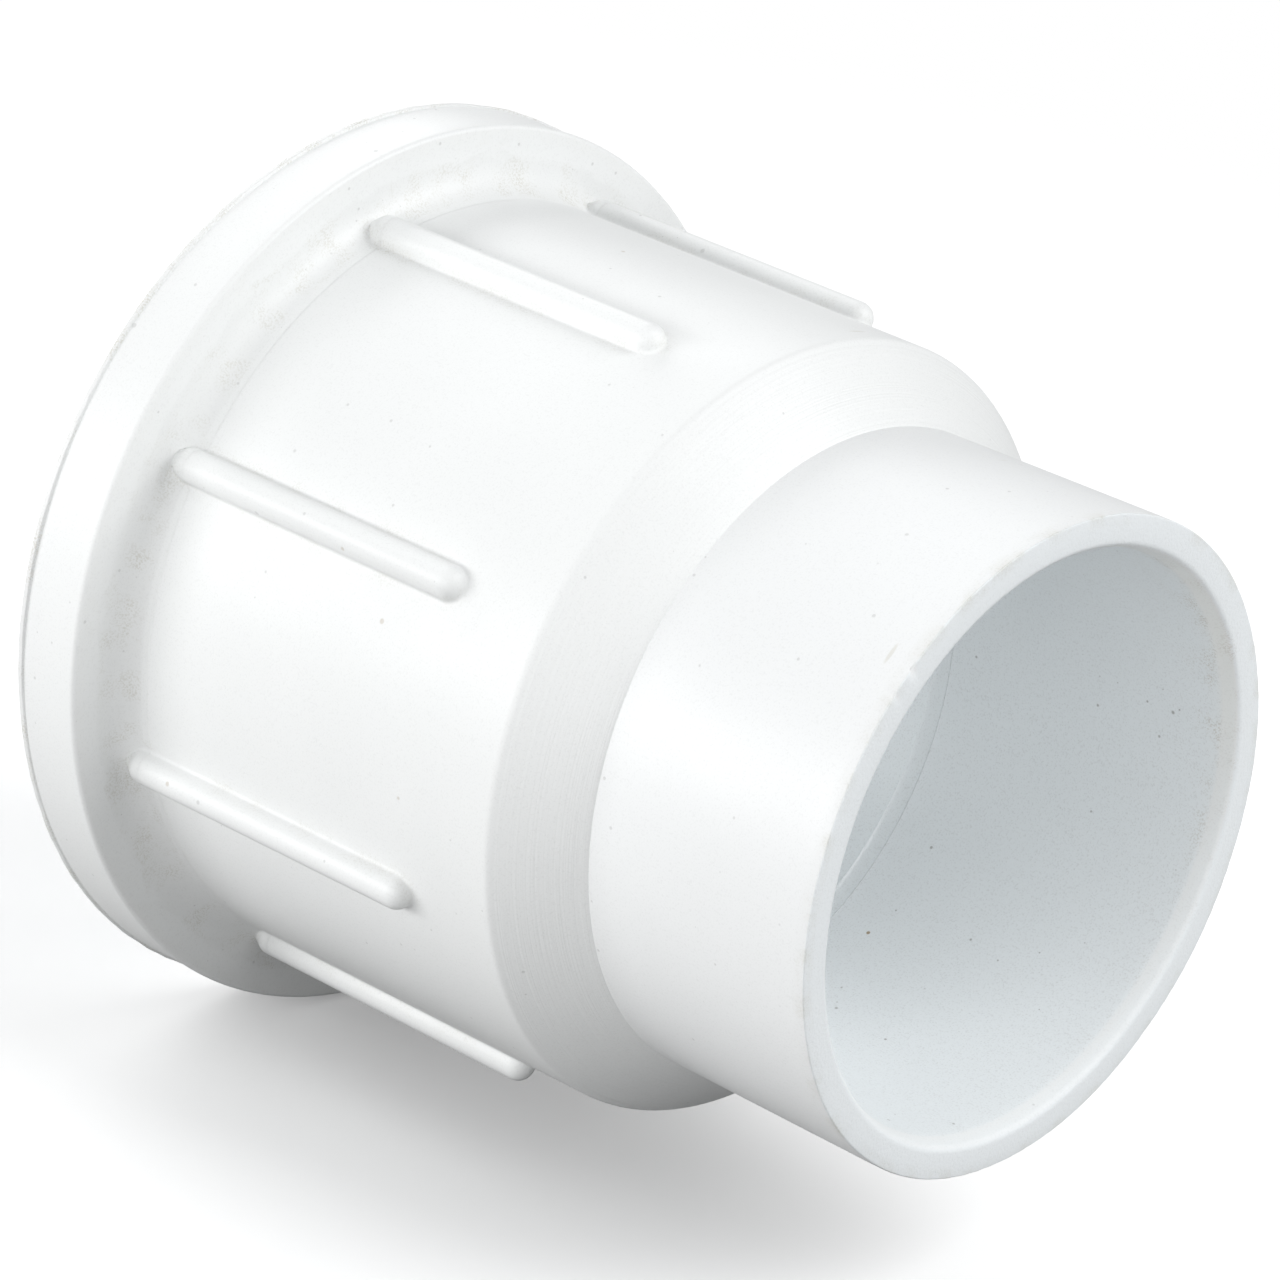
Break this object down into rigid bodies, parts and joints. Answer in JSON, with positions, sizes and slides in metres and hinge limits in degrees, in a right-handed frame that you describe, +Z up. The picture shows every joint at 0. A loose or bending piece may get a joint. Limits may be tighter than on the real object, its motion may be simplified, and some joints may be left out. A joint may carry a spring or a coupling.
{
  "type": "flanged reducing pipe socket",
  "caption": "Open flanged fitting that joins a pipe socket to a wider ribbed barrel through a conical shoulder, for casting into a wall.",
  "frame": {"origin": "centre of the flange's outer face, on the axis of the bores", "axes": "+X along the axis, from the flange towards the mouth of the pipe socket; +Z up, midway between two ribs"},
  "size_m": [0.0936, 0.0988, 0.0988],
  "materials": {
    "moulded_plastic": "white moulded PVC, satin to semi-gloss",
    "tube_plastic": "white PVC tube, semi-gloss with a matte cut end"
  },
  "bodies": {
    "root": {"flanged_body": "moulded_plastic", "socket_sleeve": "tube_plastic"}
  },
  "joints": []
}
